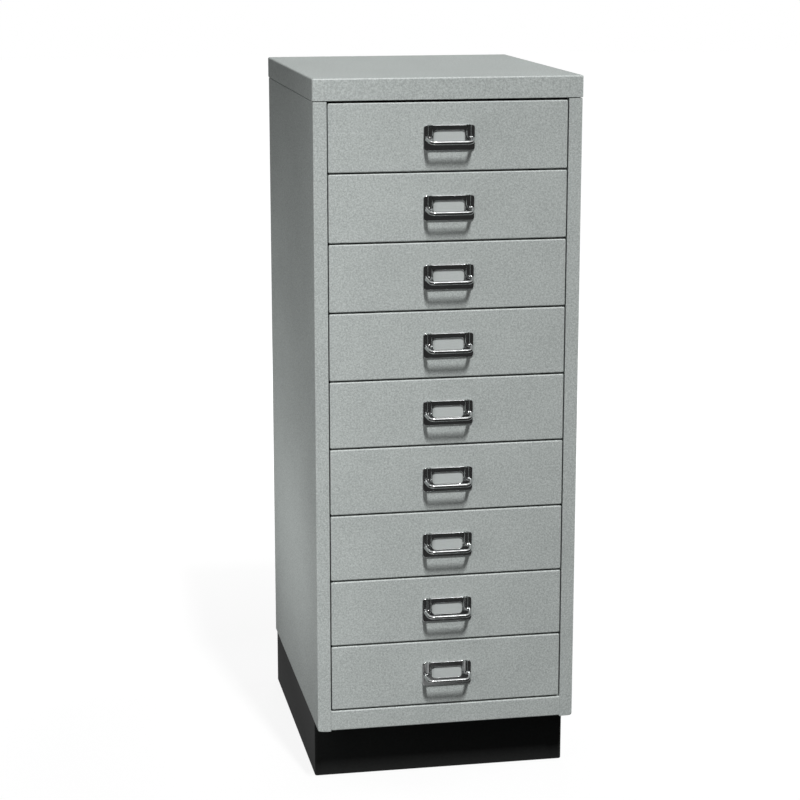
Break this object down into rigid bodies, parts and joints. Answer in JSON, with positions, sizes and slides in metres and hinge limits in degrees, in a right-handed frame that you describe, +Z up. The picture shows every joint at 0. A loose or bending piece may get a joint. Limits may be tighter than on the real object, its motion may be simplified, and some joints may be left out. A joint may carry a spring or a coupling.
{
  "type": "multi-drawer cabinet",
  "caption": "Tall narrow steel cabinet with equal shallow drawers, chrome label-frame bow handles and a recessed black plinth.",
  "frame": {"origin": "on the floor, under the middle of the overall box, handles included", "axes": "+Z up, front with the drawers faces -Y, +X to the right seen from the front"},
  "size_m": [0.349, 0.4526, 0.94],
  "materials": {
    "silver_paint": "fine-speckled silver-grey powder coat, satin",
    "black_paint": "black powder coat, satin",
    "chrome": "bright chrome plate",
    "zinc_plate": "bright zinc plate",
    "blank_card": "plain matt card"
  },
  "bodies": {
    "cabinet": {"top_cap": "silver_paint", "left_side_panel": "silver_paint", "right_side_panel": "silver_paint", "back_panel": "silver_paint", "base_panel": "silver_paint", "bottom_rail": "silver_paint", "left_uprights": "zinc_plate", "right_uprights": "zinc_plate", "left_runners": "zinc_plate", "right_runners": "zinc_plate", "plinth_wrap": "black_paint", "plinth_back": "black_paint", "plinth_bolts": "zinc_plate", "plinth_nuts": "zinc_plate"},
    "drawer_1": {"drawer_1_front": "silver_paint", "drawer_1_tray": "silver_paint", "drawer_1_label_frame": "chrome", "drawer_1_label_card": "blank_card", "drawer_1_bail": "chrome"},
    "drawer_2": {"drawer_2_front": "silver_paint", "drawer_2_tray": "silver_paint", "drawer_2_label_frame": "chrome", "drawer_2_label_card": "blank_card", "drawer_2_bail": "chrome"},
    "drawer_3": {"drawer_3_front": "silver_paint", "drawer_3_tray": "silver_paint", "drawer_3_label_frame": "chrome", "drawer_3_label_card": "blank_card", "drawer_3_bail": "chrome"},
    "drawer_4": {"drawer_4_front": "silver_paint", "drawer_4_tray": "silver_paint", "drawer_4_label_frame": "chrome", "drawer_4_label_card": "blank_card", "drawer_4_bail": "chrome"},
    "drawer_5": {"drawer_5_front": "silver_paint", "drawer_5_tray": "silver_paint", "drawer_5_label_frame": "chrome", "drawer_5_label_card": "blank_card", "drawer_5_bail": "chrome"},
    "drawer_6": {"drawer_6_front": "silver_paint", "drawer_6_tray": "silver_paint", "drawer_6_label_frame": "chrome", "drawer_6_label_card": "blank_card", "drawer_6_bail": "chrome"},
    "drawer_7": {"drawer_7_front": "silver_paint", "drawer_7_tray": "silver_paint", "drawer_7_label_frame": "chrome", "drawer_7_label_card": "blank_card", "drawer_7_bail": "chrome"},
    "drawer_8": {"drawer_8_front": "silver_paint", "drawer_8_tray": "silver_paint", "drawer_8_label_frame": "chrome", "drawer_8_label_card": "blank_card", "drawer_8_bail": "chrome"},
    "drawer_9": {"drawer_9_front": "silver_paint", "drawer_9_tray": "silver_paint", "drawer_9_label_frame": "chrome", "drawer_9_label_card": "blank_card", "drawer_9_bail": "chrome"}
  },
  "joints": [
    {"name": "drawer_1_slide", "type": "slide", "parent": "cabinet", "child": "drawer_1", "axis": [0, -1, 0], "range_m": [0, 0.33]},
    {"name": "drawer_2_slide", "type": "slide", "parent": "cabinet", "child": "drawer_2", "axis": [0, -1, 0], "range_m": [0, 0.33]},
    {"name": "drawer_3_slide", "type": "slide", "parent": "cabinet", "child": "drawer_3", "axis": [0, -1, 0], "range_m": [0, 0.33]},
    {"name": "drawer_4_slide", "type": "slide", "parent": "cabinet", "child": "drawer_4", "axis": [0, -1, 0], "range_m": [0, 0.33]},
    {"name": "drawer_5_slide", "type": "slide", "parent": "cabinet", "child": "drawer_5", "axis": [0, -1, 0], "range_m": [0, 0.33]},
    {"name": "drawer_6_slide", "type": "slide", "parent": "cabinet", "child": "drawer_6", "axis": [0, -1, 0], "range_m": [0, 0.33]},
    {"name": "drawer_7_slide", "type": "slide", "parent": "cabinet", "child": "drawer_7", "axis": [0, -1, 0], "range_m": [0, 0.33]},
    {"name": "drawer_8_slide", "type": "slide", "parent": "cabinet", "child": "drawer_8", "axis": [0, -1, 0], "range_m": [0, 0.33]},
    {"name": "drawer_9_slide", "type": "slide", "parent": "cabinet", "child": "drawer_9", "axis": [0, -1, 0], "range_m": [0, 0.33]}
  ]
}
